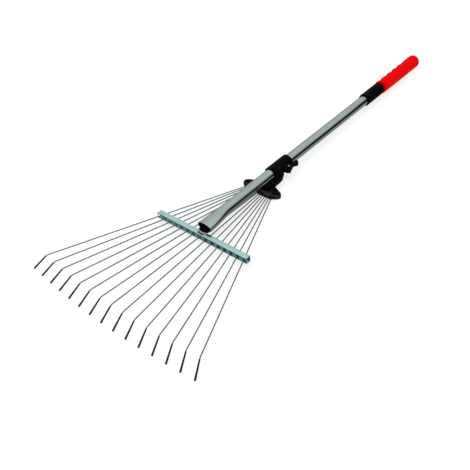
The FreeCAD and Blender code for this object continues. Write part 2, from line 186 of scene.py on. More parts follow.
MM = 0.001
COLLAR_FRONT = 608.0
TUBE_R = 12.5
TUBE_WALL = 1.1
TUBE_END = 648.0
FLARE_START = 90.0
MOUTH_Y = 16.0
TONGUE_Y = 4.6
MOUTH_HALF_WIDTH = 17.8
MOUTH_TOP = 8.0
MOUTH_BOTTOM = 9.0

across = np.array((1.0, 0.0, 0.0))
pole_way = np.array(joints["pole_extension"]["axis"])
pole_up = np.cross(across, pole_way)
pole_start = np.array(joints["collar_twist"]["pos_m"]) - pole_way * COLLAR_FRONT * MM


def on_pole(x, y, z):
    """Millimetres across, along and above the pole's axis, from the crossbar's front web, as metres."""
    x, y, z = np.broadcast_arrays(x, y, z)
    return pole_start + MM * (x[..., None] * across + y[..., None] * pole_way + z[..., None] * pole_up)


def surface(name, grids, loop=False):
    """One mesh over grids of points, each row a ring that closes on itself, every cell a quad.
    With loop the last ring joins the first. Equal points are welded. A grid whose enclosed volume,
    the sum of its cells' a . (b x c), comes out negative is turned round, so that faces point outwards."""
    points = []
    quads = []
    count = 0
    for grid in grids:
        rings, spots = grid.shape[:2]
        index = np.arange(rings * spots).reshape(rings, spots)
        if loop:
            index = np.vstack([index, index[:1]])
        index = np.hstack([index, index[:, :1]])
        cells = np.stack([index[:-1, :-1], index[1:, :-1], index[1:, 1:], index[:-1, 1:]], -1)
        cells = cells.reshape(-1, 4)
        flat = grid.reshape(-1, 3)
        a, b, c, d = (flat[cells[:, k]] - flat[0] for k in range(4))
        volume = np.einsum("ij,ij->", a, np.cross(b, c)) + np.einsum("ij,ij->", a, np.cross(c, d))
        if volume < 0:
            cells = cells[:, ::-1]
        points.append(flat)
        quads.append(cells + count)
        count += len(flat)
    mesh = bpy.data.meshes.new(name)
    mesh.from_pydata(np.vstack(points).tolist(), [], np.vstack(quads).tolist())
    return settled(name, mesh)


def settled(name, mesh, crease=38.0):
    """The mesh as a piece: equal points welded, shaded smooth except across edges over crease degrees."""
    work = bmesh.new()
    work.from_mesh(mesh)
    bmesh.ops.remove_doubles(work, verts=work.verts, dist=2e-6)
    work.to_mesh(mesh)
    work.free()
    mesh.shade_smooth()
    mesh.set_sharp_from_angle(angle=math.radians(crease))
    piece = bpy.data.objects.new(name, mesh)
    scene.collection.objects.link(piece)
    return piece


def turned(profile, spots, spread=on_pole):
    """A profile of (along, radius) pairs turned round the pole's axis: x is r cos, z is r sin."""
    along, radius = np.asarray(profile, float).T
    angle = np.linspace(0, 2 * np.pi, spots, endpoint=False)
    return spread(radius[:, None] * np.cos(angle), along[:, None], radius[:, None] * np.sin(angle))


def eased(corners, reach, steps=5, closed=True):
    """An outline with each corner p replaced by the parabola arc (1-s)(1-s) a + 2s(1-s) p + s s b,
    where a and b lie on its two sides, reach away from it."""
    corners = np.asarray(corners, float)
    before = np.roll(corners, 1, axis=0) - corners
    after = np.roll(corners, -1, axis=0) - corners
    reach = np.broadcast_to(reach, len(corners))[:, None]
    start = corners + reach * before / np.linalg.norm(before, axis=1, keepdims=True)
    end = corners + reach * after / np.linalg.norm(after, axis=1, keepdims=True)
    s = np.linspace(0, 1, steps)[None, :, None]
    arcs = (1 - s) ** 2 * start[:, None] + 2 * s * (1 - s) * corners[:, None] + s ** 2 * end[:, None]
    if not closed:
        arcs[0] = corners[0]
        arcs[-1] = corners[-1]
    return arcs.reshape(-1, corners.shape[1])


def smooth_step(t):
    """3tt - 2ttt, with t held between 0 and 1."""
    t = np.clip(t, 0, 1)
    return t * t * (3 - 2 * t)


def tube_wall(along, inset):
    """Rings of the pressed tube. share runs from 0, round, to 1, the D of the mouth; the upper half is an
    ellipse, the lower half a superellipse whose power falls with share, which flattens the floor.
    The front edge comes forward round the bottom as a tongue, which curls down past the bar's notch."""
    angle = np.linspace(0, 2 * np.pi, 112, endpoint=False)[None, :]
    c, s = np.cos(angle), np.sin(angle)
    tongue = smooth_step((-s - 0.80) / 0.18)
    front = MOUTH_Y - (MOUTH_Y - TONGUE_Y) * tongue
    y = TUBE_END + (front - TUBE_END) * along[:, None]
    inset = inset[:, None]
    share = smooth_step((FLARE_START - y) / (FLARE_START - MOUTH_Y))
    half_width = TUBE_R + (MOUTH_HALF_WIDTH - TUBE_R) * share - inset
    height = np.where(s >= 0, MOUTH_TOP, MOUTH_BOTTOM)
    height = TUBE_R + (height - TUBE_R) * share - inset
    power = np.where(s >= 0, 1.0, 1 - 0.55 * share)
    x = half_width * np.sign(c) * np.abs(c) ** power
    z = height * np.sign(s) * np.abs(s) ** power
    curl = 1.3 * np.clip(6.0 - y, 0, None) ** 1.5 * tongue
    return on_pole(x, y, z - curl)


run = np.concatenate([[0.0, 0.002, 0.2, 0.4, 0.6, 0.8], np.linspace(0.86, 0.9985, 60)])
rim = np.linspace(0, np.pi, 7)[1:-1]
rim_along = 0.9985 + 0.0015 * np.sin(rim)
rim_inset = TUBE_WALL / 2 * (1 - np.cos(rim))
tube_along = np.concatenate([run, rim_along, run[::-1]])
tube_inset = np.concatenate([np.zeros(len(run)), rim_inset, np.full(len(run), TUBE_WALL)])
tube_inset[0] = 0.25
pole_tube = surface("pole_tube", [tube_wall(tube_along, tube_inset)], loop=True)


def shader_group(name, inputs, outputs):
    """An empty shader node group; an input's default says its kind, outputs are colours or numbers."""
    group = bpy.data.node_groups.new(name, "ShaderNodeTree")
    for label, value in inputs.items():
        kind = {4: "NodeSocketColor", 3: "NodeSocketVector"}.get(
            len(value) if isinstance(value, tuple) else 1, "NodeSocketFloat")
        group.interface.new_socket(label, in_out="INPUT", socket_type=kind).default_value = value
    for label in outputs:
        kind = "NodeSocketColor" if label == "Color" else "NodeSocketFloat"
        group.interface.new_socket(label, in_out="OUTPUT", socket_type=kind)
    return group, group.nodes.new("NodeGroupInput").outputs, group.nodes.new("NodeGroupOutput").inputs


def noise(tree, vector, scale, detail=3.0):
    """Brightness of a noise of this scale over vector."""
    inputs = {"Vector": vector, "Scale": scale, "Detail": detail}
    return add(tree, "ShaderNodeTexNoise", inputs).outputs["Fac"]


def scaled(tree, vector, share):
    """A vector or colour times share."""
    return add(tree, "ShaderNodeVectorMath", {0: vector, "Scale": share}, operation="SCALE").outputs[0]


# Scuffs: thin scratches in two directions, where two stretched noises peak.
scuffs, given, made = shader_group("scuffs", {"Size": 1.0, "Amount": 0.3}, ("Mask",))
place = add(scuffs, "ShaderNodeTexCoord").outputs["Object"]
marks = []
for turn in (0.6, -0.9):
    lie = add(scuffs, "ShaderNodeMapping", {"Vector": place, "Rotation": (turn, 0.3, turn),
                                            "Scale": (900, 40, 900)}).outputs[0]
    marks.append(part_of(scuffs, noise(scuffs, scaled(scuffs, lie, given["Size"]), 1.0, 2.0), 0.66, 0.76))
either = number(scuffs, "MAXIMUM", *marks)
scuffs.links.new(number(scuffs, "MULTIPLY", either, given["Amount"]), made["Mask"])

# Plated finish: drawing lines along the grain, clouds of stain in the passivation, specks and scuffs.
plated_finish, given, made = shader_group("plated_finish", {
    "Base": (0.6, 0.6, 0.6, 1.0), "Stain": (0.5, 0.5, 0.5, 1.0), "Stain Amount": 0.4,
    "Grain": (900.0, 25.0, 900.0), "Grain Depth": 1.0, "Roughness": 0.2, "Scuffing": 0.3,
}, ("Color", "Roughness", "Height"))
place = add(plated_finish, "ShaderNodeTexCoord").outputs["Object"]
stretched = add(plated_finish, "ShaderNodeVectorMath", {0: place, 1: given["Grain"]}, operation="MULTIPLY")
lines = noise(plated_finish, stretched.outputs[0], 1.0)
cloud = part_of(plated_finish, noise(plated_finish, place, 26.0, 5.0), 0.40, 0.66)
speck = part_of(plated_finish, noise(plated_finish, place, 520.0, 1.0), 0.66, 0.78)
scuff = add(plated_finish, "ShaderNodeGroup", {}, node_tree=scuffs)
plated_finish.links.new(given["Scuffing"], scuff.inputs["Amount"])
stained = number(plated_finish, "MULTIPLY", cloud, given["Stain Amount"])
stained = number(plated_finish, "MULTIPLY_ADD", speck, 0.25, stained)
colour = blended(plated_finish, stained, given["Base"], given["Stain"])
shade = part_of(plated_finish, lines, 0.3, 0.7, 0.90, 1.06)
plated_finish.links.new(scaled(plated_finish, colour, shade), made["Color"])
rough = number(plated_finish, "MULTIPLY_ADD", cloud, 0.07, given["Roughness"])
rough = number(plated_finish, "MULTIPLY_ADD", lines, 0.08, rough)
rough = number(plated_finish, "MULTIPLY_ADD", scuff.outputs[0], 0.25, rough)
plated_finish.links.new(rough, made["Roughness"])
relief = number(plated_finish, "MULTIPLY", lines, given["Grain Depth"])
relief = number(plated_finish, "MULTIPLY_ADD", scuff.outputs[0], -0.5, relief)
plated_finish.links.new(relief, made["Height"])


def finish(name, group, values, relief_mm, **own):
    """A material: the group's colour, roughness and height on a Principled shader with values of its own."""
    material = bpy.data.materials.new(name)
    material.use_nodes = True
    tree = material.node_tree
    shader = tree.nodes["Principled BSDF"]
    for key, value in own.items():
        shader.inputs[key.replace("_", " ")].default_value = value
    skin = add(tree, "ShaderNodeGroup", node_tree=group)
    for key, value in values.items():
        skin.inputs[key].default_value = value
    bump = add(tree, "ShaderNodeBump", {"Height": skin.outputs["Height"], "Distance": relief_mm * MM})
    tree.links.new(skin.outputs["Color"], shader.inputs["Base Color"])
    tree.links.new(skin.outputs["Roughness"], shader.inputs["Roughness"])
    tree.links.new(bump.outputs[0], shader.inputs["Normal"])
    return material


def dress(piece, material, body, slot, *stands_for):
    """Give a new piece its material and its body, and hide the CAD nodes it stands for. slot is not used."""
    piece.data.materials.clear()
    piece.data.materials.append(material)
    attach(piece, body)
    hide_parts(*stands_for)


tube_zinc = finish("tube_zinc", plated_finish, {
    "Base": (0.60, 0.69, 0.68, 1), "Stain": (0.46, 0.50, 0.44, 1), "Stain Amount": 0.25,
    "Grain": (1100, 18, 1100), "Roughness": 0.10, "Scuffing": 0.25}, 0.002, Metallic=1.0)
dress(pole_tube, tube_zinc, "pole", "pole_steel", "outer_tube")


# ---------------------------------------------------------------- crossbar and its rivets
# Steel sheet folded into a box, zinc plated with a pale blue-green cast. Each tine runs through a window in
# the front web and a slightly wider one in the back web.

TINE_COUNT = 15
WINDOW_PITCH = 16.4
PIVOT_PITCH = 5.0
PIVOT_Y = 188.0
TRAVEL = 110.0
BAR_HALF_LENGTH = 121.0
BAR_SHEET = 1.4
BAR_BACK = 11.4
BAR_TOP = -9.7
BAR_BOTTOM = -22.8
FOLD_R = 1.4
WINDOW_LOW = -19.7
WINDOW_WIDTHS = (7.6, 8.8)
NOTCH_HALF_WIDTH = 8.0
NOTCH_BACK = 5.8

steps = np.arange(TINE_COUNT) - TINE_COUNT // 2


def window_edges(web_y, width):
    """Left and right edge of every window in the web at web_y. A tine's angle is atan(step x pitches /
    pivot distance), it turns evenly with the slider, and its window is centred on the band it sweeps."""
    spread = steps * (WINDOW_PITCH - PIVOT_PITCH)
    shown = np.arctan(spread / PIVOT_Y)
    turned_in = np.arctan(spread / (PIVOT_Y + TRAVEL)) - shown
    share = np.linspace(0, 1, 11)[:, None]
    spots = steps * PIVOT_PITCH + (PIVOT_Y + TRAVEL * share - web_y) * np.tan(shown + turned_in * share)
    centre = (spots.min(0) + spots.max(0)) / 2
    return centre - width / 2, centre + width / 2


def inside(values, lows, highs):
    """True where a value lies in one of the bands."""
    return ((values[:, None] > lows) & (values[:, None] < highs)).any(1)


def mark(mesh, name, values):
    """A number for every vertex, which a material reads by this name."""
    marks = mesh.attributes.new(name, "FLOAT", "POINT")
    marks.data.foreach_set("value", np.ravel(values).astype(np.float32))


def tinted(material, mark_name, tint, amount):
    """Mix tint into a finished material's colour by amount, where the piece's own mark is 1."""
    tree = material.node_tree
    shader = tree.nodes["Principled BSDF"]
    share = add(tree, "ShaderNodeAttribute", attribute_name=mark_name).outputs["Fac"]
    share = number(tree, "MULTIPLY", share, amount)
    plain = shader.inputs["Base Color"].links[0].from_socket
    tree.links.new(blended(tree, share, plain, tint), shader.inputs["Base Color"])


fold = np.linspace(0, np.pi / 2, 6)
curved_in = FOLD_R * (1 - np.cos(fold))
curved_out = FOLD_R * (1 - np.sin(fold))
bar_y = np.concatenate([[0], curved_in, [NOTCH_BACK], BAR_BACK - curved_out,
                        [BAR_BACK], BAR_BACK - curved_in, curved_out])
bar_z = np.concatenate([[WINDOW_LOW], BAR_TOP - curved_out, [BAR_TOP], BAR_TOP - curved_in,
                        [WINDOW_LOW], BAR_BOTTOM + curved_out, BAR_BOTTOM + curved_in])
front_windows = window_edges(0.0, WINDOW_WIDTHS[0])
back_windows = window_edges(BAR_BACK, WINDOW_WIDTHS[1])
bar_x = np.unique(np.concatenate([*front_windows, *back_windows, [-NOTCH_HALF_WIDTH, NOTCH_HALF_WIDTH],
                                  [-BAR_HALF_LENGTH, BAR_HALF_LENGTH]]).round(3))
bar_points = on_pole(bar_x[None, :], bar_y[:, None], bar_z[:, None])
bar_index = np.arange(bar_points[..., 0].size).reshape(bar_points.shape[:2])
bar_index = np.vstack([bar_index, bar_index[:1]])
middle_x = (bar_x[1:] + bar_x[:-1]) / 2
middle_y = (bar_y + np.roll(bar_y, -1)) / 2
middle_z = (bar_z + np.roll(bar_z, -1)) / 2
window_rows = (middle_z > WINDOW_LOW) & (middle_z < BAR_TOP - FOLD_R)
open_cells = (window_rows & (middle_y < 1))[:, None] & inside(middle_x, *front_windows)
open_cells |= (window_rows & (middle_y > BAR_BACK - 1))[:, None] & inside(middle_x, *back_windows)
notch_rows = (middle_y > FOLD_R) & (middle_y < NOTCH_BACK) & (middle_z > BAR_TOP - 0.1)
open_cells |= notch_rows[:, None] & (np.abs(middle_x) < NOTCH_HALF_WIDTH)
bar_cells = np.stack([bar_index[:-1, :-1], bar_index[:-1, 1:], bar_index[1:, 1:], bar_index[1:, :-1]], -1)
bar_mesh = bpy.data.meshes.new("folded_bar")
bar_mesh.from_pydata(bar_points.reshape(-1, 3).tolist(), [], bar_cells[~open_cells].tolist())
# web marks the sheet below the top fold. The material paints these webs darker there as painted shade.
mark(bar_mesh, "web", np.repeat(bar_z < BAR_TOP - 0.7, len(bar_x)))
folded_bar = settled("folded_bar", bar_mesh)
sheet = folded_bar.modifiers.new("sheet", "SOLIDIFY")
sheet.thickness = BAR_SHEET * MM
sheet.offset = 0
sheet.use_even_offset = True


def round_edges(piece, width_mm, segments=2, angle=40.0):
    """A Bevel modifier on every edge sharper than angle."""
    bevel = piece.modifiers.new("rounded", "BEVEL")
    bevel.width = width_mm * MM
    bevel.segments = segments
    bevel.limit_method = "ANGLE"
    bevel.angle_limit = math.radians(angle)
    bevel.harden_normals = True


round_edges(folded_bar, 0.3)
bar_zinc = finish("bar_zinc", plated_finish, {
    "Base": (0.66, 0.97, 0.98, 1), "Stain": (0.54, 0.82, 0.80, 1), "Stain Amount": 0.4,
    "Grain": (16, 700, 700), "Roughness": 0.18, "Scuffing": 0.4}, 0.008, Metallic=1.0)
# Painted shade: the webs' colour is mixed three quarters of the way to a dark teal, for the shade they get
# below the top.
tinted(bar_zinc, "web", (0.16, 0.42, 0.44, 1), 0.75)
dress(folded_bar, bar_zinc, "pole", "bar_steel", "crossbar")

RIVET_X = 8.0
RIVET_Y = 8.2
SHANK_R = 2.0
HEAD_R = 3.1
HEAD_LOW = -MOUTH_BOTTOM + TUBE_WALL
HEAD_HEIGHT = 1.5
FOOT_TOP = -10.4
FOOT_LOW = -11.5
dome = np.linspace(0, np.pi / 2, 7)
head = np.stack([HEAD_LOW + 0.2 + HEAD_HEIGHT * np.sin(dome), HEAD_R * np.cos(dome)], 1)
foot = eased([(FOOT_LOW + 0.2, SHANK_R + 0.2), (FOOT_TOP, SHANK_R + 0.3), (FOOT_TOP, SHANK_R)],
             0.15, closed=False)
rivet_profile = np.concatenate([[(FOOT_LOW, 0.0), (FOOT_LOW, 1.4)], foot,
                                [(HEAD_LOW, SHANK_R), (HEAD_LOW, HEAD_R - 0.1)], head])


def at_rivet(side):
    """The spread of a rivet: its profile runs upwards at one side of the mouth's floor."""
    return lambda x, y, z: on_pole(side * RIVET_X + x, RIVET_Y + z, y)


rivet_grids = [turned(rivet_profile, 28, at_rivet(side)) for side in (-1, 1)]
bar_rivets = surface("bar_rivets", rivet_grids)
rivet_zinc = finish("rivet_zinc", plated_finish, {
    "Base": (0.62, 0.62, 0.58, 1), "Stain": (0.40, 0.38, 0.32, 1), "Stain Amount": 0.6,
    "Grain": (500, 500, 500), "Roughness": 0.3, "Scuffing": 0.5}, 0.03, Metallic=1.0)
dress(bar_rivets, rivet_zinc, "pole", "fastener_steel", "crossbar_rivets")


# ---------------------------------------------------------------- tines and their tips
# Fifteen spring steel wires, zinc plated. Each is turned down into a peg at the plate and bent down at the
# outer end, where a black coated tip, dipped on, grows thicker towards the ground.

WIRE_R = 1.2
MIDDLE_LENGTH = 420.0
OUTER_EXTRA = 0.06
TIP_LENGTH = 38.0
TIP_ANGLE = math.radians(35.0)
BEND_REACH = 1.9
PEG_DEPTH = 3.4
TIP_CORE = 16.0
TIP_START = 2.4
TIP_ROOT_R = 1.5
TIP_END_R = 1.9

fan_up = np.array(joints["tine_hinge_07"]["axis"])
fan_along = np.cross(fan_up, across)
beside_middle = [np.array(joints[name]["pos_m"]) for name in ("tine_hinge_07", "tine_hinge_09")]
middle_pivot = (beside_middle[0] + beside_middle[1]) / 2


def on_fan(points):
    """Millimetres across, along and above the fan of wires, counted from the middle pivot, as metres."""
    points = np.asarray(points, float)
    x, y, z = points[..., :1], points[..., 1:2], points[..., 2:]
    return middle_pivot + MM * (x * across + y * fan_along + z * fan_up)


def swept(path, radius, side, spots=16):
    """Rings of the given radius round a path in one plane; side is that plane's normal and each ring is
    r (cos side + sin (side x tangent))."""
    way = np.gradient(path, axis=0)
    way /= np.linalg.norm(way, axis=1, keepdims=True)
    other = np.cross(side, way)
    angle = np.linspace(0, 2 * np.pi, spots, endpoint=False)[None, :, None]
    radius = np.asarray(radius)[:, None, None]
    return path[:, None] + radius * (np.cos(angle) * side + np.sin(angle) * other[:, None])


wire_zinc = finish("wire_zinc", plated_finish, {
    "Base": (0.30, 0.36, 0.37, 1), "Stain": (0.20, 0.22, 0.22, 1), "Stain Amount": 0.6,
    "Grain": (400, 60, 400), "Roughness": 0.26, "Scuffing": 0.4}, 0.01, Metallic=1.0)

# Moulded skin: fine pebble grain, broad patches, a little dust in them, and scuffs.
moulded_skin, given, made = shader_group("moulded_skin", {
    "Base": (0.01, 0.01, 0.01, 1.0), "Dust": (0.3, 0.28, 0.25, 1.0), "Dust Amount": 0.05,
    "Grain Size": 900.0, "Grain Depth": 1.0, "Roughness": 0.45, "Scuffing": 0.3,
}, ("Color", "Roughness", "Height"))
place = add(moulded_skin, "ShaderNodeTexCoord").outputs["Object"]
pebble = add(moulded_skin, "ShaderNodeTexVoronoi", {"Vector": place, "Scale": given["Grain Size"]})
patch = noise(moulded_skin, place, 22.0, 4.0)
fine = part_of(moulded_skin, noise(moulded_skin, place, 340.0, 2.0), 0.42, 0.70)
dusty = number(moulded_skin, "MULTIPLY", part_of(moulded_skin, patch, 0.42, 0.66), fine)
dusty = number(moulded_skin, "MULTIPLY", dusty, given["Dust Amount"])
scuff = add(moulded_skin, "ShaderNodeGroup", {}, node_tree=scuffs)
moulded_skin.links.new(given["Scuffing"], scuff.inputs["Amount"])
worn = number(moulded_skin, "MULTIPLY_ADD", scuff.outputs[0], 0.06, dusty)
moulded_skin.links.new(blended(moulded_skin, worn, given["Base"], given["Dust"]), made["Color"])
rough = number(moulded_skin, "MULTIPLY_ADD", patch, 0.12, given["Roughness"])
rough = number(moulded_skin, "MULTIPLY_ADD", dusty, 1.0, rough)
rough = number(moulded_skin, "MULTIPLY_ADD", scuff.outputs[0], -0.2, rough)
moulded_skin.links.new(rough, made["Roughness"])
relief = number(moulded_skin, "MULTIPLY", pebble.outputs["Distance"], given["Grain Depth"])
relief = number(moulded_skin, "MULTIPLY_ADD", scuff.outputs[0], -0.4, relief)
moulded_skin.links.new(relief, made["Height"])

tip_coating = finish("tip_coating", moulded_skin, {
    "Base": (0.0035, 0.0045, 0.0045, 1), "Dust": (0.20, 0.18, 0.14, 1), "Dust Amount": 0.10,
    "Grain Size": 1400, "Roughness": 0.42, "Scuffing": 0.8}, 0.03, Specular_IOR_Level=0.25)

TIP_BORE_R = WIRE_R + 0.02
tip_edge = eased([(TIP_CORE, 0), (TIP_CORE, TIP_BORE_R), (TIP_START, TIP_BORE_R),
                  (TIP_START, TIP_ROOT_R - 0.1), (TIP_START + 1.5, TIP_ROOT_R)],
                 0.12, steps=4, closed=False)
tip_dome = np.linspace(0, np.pi / 2, 9)
tip_body = np.stack([np.linspace(TIP_START + 3, TIP_LENGTH - TIP_END_R, 12),
                     np.linspace(TIP_ROOT_R + 0.02, TIP_END_R, 12)], 1)
tip_round = np.stack([TIP_LENGTH - TIP_END_R * (1 - np.sin(tip_dome)), TIP_END_R * np.cos(tip_dome)], 1)
tip_profile = np.concatenate([tip_edge, tip_body, tip_round[1:]])

for number_on_bar, step in enumerate(steps, 1):
    angle = math.atan(step * (WINDOW_PITCH - PIVOT_PITCH) / PIVOT_Y)
    length = MIDDLE_LENGTH * (1 + OUTER_EXTRA * (step / steps[-1]) ** 2)
    out = np.array((math.sin(angle), -math.cos(angle), 0.0))
    side = np.array((math.cos(angle), math.sin(angle), 0.0))
    down = out * math.cos(TIP_ANGLE) + np.array((0, 0, -math.sin(TIP_ANGLE)))
    pivot = np.array((step * PIVOT_PITCH, 0.0, 0.0))
    bend = pivot + out * length
    corners = [pivot - (0, 0, PEG_DEPTH), pivot, bend, bend + down * (TIP_CORE - 0.05)]
    path = eased(corners, [0, 1.3, BEND_REACH, 0], steps=9, closed=False)[8:-8]
    radius = np.full(len(path), WIRE_R)
    rings = swept(path, radius, side)
    ends = [np.repeat(path[k][None, None], rings.shape[1], 1) for k in (0, -1)]
    wire = surface("wire_%02d" % number_on_bar, [on_fan(np.concatenate([ends[0], rings, ends[1]]))])
    axis = bend + tip_profile[:, :1] * down
    normal = np.cross(side, down)
    turn = np.linspace(0, 2 * np.pi, 20, endpoint=False)[None, :, None]
    rings = axis[:, None] + tip_profile[:, 1, None, None] * (np.cos(turn) * side + np.sin(turn) * normal)
    tip = surface("coated_tip_%02d" % number_on_bar, [on_fan(rings)])
    arm = "slider" if step == 0 else "tine_arm_%02d" % number_on_bar
    dress(wire, wire_zinc, arm, "tine_wire", "tine_%02d" % number_on_bar)
    dress(tip, tip_coating, arm, "tip_black", "tine_tip_%02d" % number_on_bar)


# ---------------------------------------------------------------- tine plates and their screws
# Two black coated steel pressings clamp the tines' pegs. Their wide ears have a through hole each, and four
# screws from below hold both to the housing's neck.


def eased_copy(node_name, name, width_mm, segments=3):
    """A copy of a CAD node: points merged, flat faces joined, then sharp edges rounded by a Bevel."""
    mesh = bpy.data.meshes.new(name)
    work = bmesh.new()
    work.from_mesh(nodes[node_name].data)
    bmesh.ops.remove_doubles(work, verts=work.verts, dist=2e-6)
    bmesh.ops.dissolve_limit(work, angle_limit=math.radians(1.0), verts=work.verts, edges=work.edges)
    work.to_mesh(mesh)
    work.free()
    piece = settled(name, mesh)
    round_edges(piece, width_mm, segments)
    return piece


# Edge wear: the ridges of the mesh, broken up by noise.
edge_wear, given, made = shader_group("edge_wear", {"Amount": 0.5}, ("Mask",))
ridge = part_of(edge_wear, add(edge_wear, "ShaderNodeNewGeometry").outputs["Pointiness"], 0.515, 0.60)
place = add(edge_wear, "ShaderNodeTexCoord").outputs["Object"]
broken = part_of(edge_wear, noise(edge_wear, place, 160.0, 4.0), 0.44, 0.60)
worn_ridge = number(edge_wear, "MULTIPLY", ridge, broken)
edge_wear.links.new(number(edge_wear, "MULTIPLY", worn_ridge, given["Amount"]), made["Mask"])


def worn_to(material, bare, amount, metallic):
    """Let bare show where the coat is worn off the edges of a finished material."""
    tree = material.node_tree
    shader = tree.nodes["Principled BSDF"]
    wear = add(tree, "ShaderNodeGroup", {}, node_tree=edge_wear)
    wear.inputs["Amount"].default_value = amount
    coat = shader.inputs["Base Color"].links[0].from_socket
    tree.links.new(blended(tree, wear.outputs["Mask"], coat, bare), shader.inputs["Base Color"])
    if metallic:
        tree.links.new(wear.outputs["Mask"], shader.inputs["Metallic"])


plate_coat = finish("plate_coat", moulded_skin, {
    "Base": (0.0008, 0.0008, 0.001, 1), "Dust": (0.22, 0.21, 0.19, 1), "Dust Amount": 0.02,
    "Grain Size": 1600, "Grain Depth": 0.6, "Roughness": 0.40, "Scuffing": 0.5,
}, 0.02, Specular_IOR_Level=0.05)
worn_to(plate_coat, (0.30, 0.31, 0.31, 1), 0.2, metallic=True)
for half in ("top", "bottom"):
    plate = eased_copy("tine_plate_" + half, "wing_plate_" + half, 0.3)
    dress(plate, plate_coat, "slider", "plate_black", "tine_plate_" + half)

screws = eased_copy("plate_screws", "wing_screws", 0.12, 2)
dress(screws, rivet_zinc, "slider", "fastener_steel", "plate_screws")


# ---------------------------------------------------------------- slider housing and its cam lock
# Moulded black nylon: a sleeve round the pole, a neck below it that carries the plates, and two lugs. The
# cam lever turns on a steel pin between them and presses a rubber shoe on the tube to lock the fan's width.


def moulded_copy(node_name, name, voxel_mm, passes):
    """A copy of a CAD node as it would leave a mould: remeshed in even cells and relaxed, which rounds
    every inner and outer corner by about a cell or two."""
    mesh = nodes[node_name].data.copy()
    mesh.name = name
    piece = settled(name, mesh)
    even = piece.modifiers.new("even", "REMESH")
    even.mode = "VOXEL"
    even.voxel_size = voxel_mm * MM
    even.use_smooth_shade = True
    relaxed = piece.modifiers.new("relaxed", "SMOOTH")
    relaxed.factor = 0.5
    relaxed.iterations = passes
    return piece


nylon = finish("nylon", moulded_skin, {
    "Base": (0.0008, 0.0008, 0.001, 1), "Dust": (0.22, 0.21, 0.20, 1), "Dust Amount": 0.02,
    "Grain Size": 1100, "Roughness": 0.46, "Scuffing": 0.35}, 0.03, Specular_IOR_Level=0.05)
housing = moulded_copy("slider_housing", "nylon_housing", 0.6, 4)
dress(housing, nylon, "slider", "black_plastic", "slider_housing")

lever_nylon = finish("lever_nylon", moulded_skin, {
    "Base": (0.0009, 0.0009, 0.001, 1), "Dust": (0.25, 0.24, 0.22, 1), "Dust Amount": 0.03,
    "Grain Size": 1500, "Roughness": 0.38, "Scuffing": 0.5}, 0.02, Specular_IOR_Level=0.06)
lever = moulded_copy("cam_lever", "lock_lever", 0.4, 4)
dress(lever, lever_nylon, "cam_lever", "lever_plastic", "cam_lever")

pin = eased_copy("lever_pin", "lock_pin", 0.3)
dress(pin, rivet_zinc, "slider", "fastener_steel", "lever_pin")

shoe_rubber = finish("shoe_rubber", moulded_skin, {
    "Base": (0.02, 0.02, 0.02, 1), "Dust": (0.16, 0.15, 0.14, 1), "Dust Amount": 0.2,
    "Grain Size": 700, "Roughness": 0.7, "Scuffing": 0.2}, 0.06, Specular_IOR_Level=0.3)
shoe = eased_copy("brake_pad", "lock_shoe", 0.3)
dress(shoe, shoe_rubber, "slider", "pad_rubber", "brake_pad")


# ---------------------------------------------------------------- inner tube, its bush and the twist lock
# A 22 mm tube of the same plated steel slides in the pole on a plastic bush. A split plastic collet grips
# it when the black threaded collar over it is turned.

INNER_R = 11.0
INNER_WALL = 1.2
INNER_FRONT = 112.0
INNER_END = 832.0
wall_corners = [(INNER_FRONT, INNER_R), (INNER_END, INNER_R), (INNER_END, INNER_R - INNER_WALL),
                (INNER_FRONT, INNER_R - INNER_WALL)]
sliding_tube = surface("sliding_tube", [turned(eased(wall_corners, 0.35), 80)], loop=True)
dress(sliding_tube, tube_zinc, "inner_pole", "pole_steel", "inner_tube")

plain_nylon = finish("plain_nylon", moulded_skin, {
    "Base": (0.26, 0.26, 0.27, 1), "Dust": (0.40, 0.38, 0.34, 1), "Dust Amount": 0.3,
    "Grain Size": 900, "Roughness": 0.45, "Scuffing": 0.3}, 0.04)
bush = eased_copy("tube_guide_bush", "guide_bush", 0.3, 2)
dress(bush, plain_nylon, "inner_pole", "inner_plastic", "tube_guide_bush")
plug = eased_copy("tube_end_plug", "end_plug", 0.5, 2)
dress(plug, plain_nylon, "inner_pole", "inner_plastic", "tube_end_plug")
collet = eased_copy("lock_collet", "split_collet", 0.25, 2)
dress(collet, plain_nylon, "pole", "inner_plastic", "lock_collet")

COLLAR_R = 15.5
COLLAR_END = 681.0
COLLAR_EDGE = 1.1
THROAT_R = 11.4
SOCKET_R = 13.9
SOCKET_BACK = 677.0
SOCKET_FRONT = 625.0
ENTRY_R = 12.9
COLLAR_BORE = ((COLLAR_END, THROAT_R), (SOCKET_BACK, THROAT_R), (SOCKET_BACK, SOCKET_R),
               (SOCKET_FRONT, SOCKET_R), (SOCKET_FRONT, ENTRY_R), (COLLAR_FRONT, ENTRY_R))
FLUTES = 16
FLUTE_FRONT = 634.0
FLUTE_BACK = 674.0
FLUTE_HALF_WIDTH = 0.95
FLUTE_DEPTH = 0.5


def fluted(along, radius, spots=FLUTES * 14):
    """Rings of the collar: radius less a groove of depth (1 - dd) at distance d, in half widths, from each
    flute's middle, fading in over 1.5 mm at the flutes' two ends."""
    angle = np.linspace(0, 2 * np.pi, spots, endpoint=False)[None, :]
    pitch = 2 * np.pi / FLUTES
    away = np.abs((angle + pitch / 2) % pitch - pitch / 2) * COLLAR_R / FLUTE_HALF_WIDTH
    groove = FLUTE_DEPTH * np.clip(1 - away ** 2, 0, None)
    along = along[:, None]
    reach = smooth_step((along - FLUTE_FRONT) / 1.5) * smooth_step((FLUTE_BACK - along) / 1.5)
    outer = radius[:, None] > COLLAR_R - 0.02
    r = radius[:, None] - groove * reach * outer
    return on_pole(r * np.cos(angle), along, r * np.sin(angle))


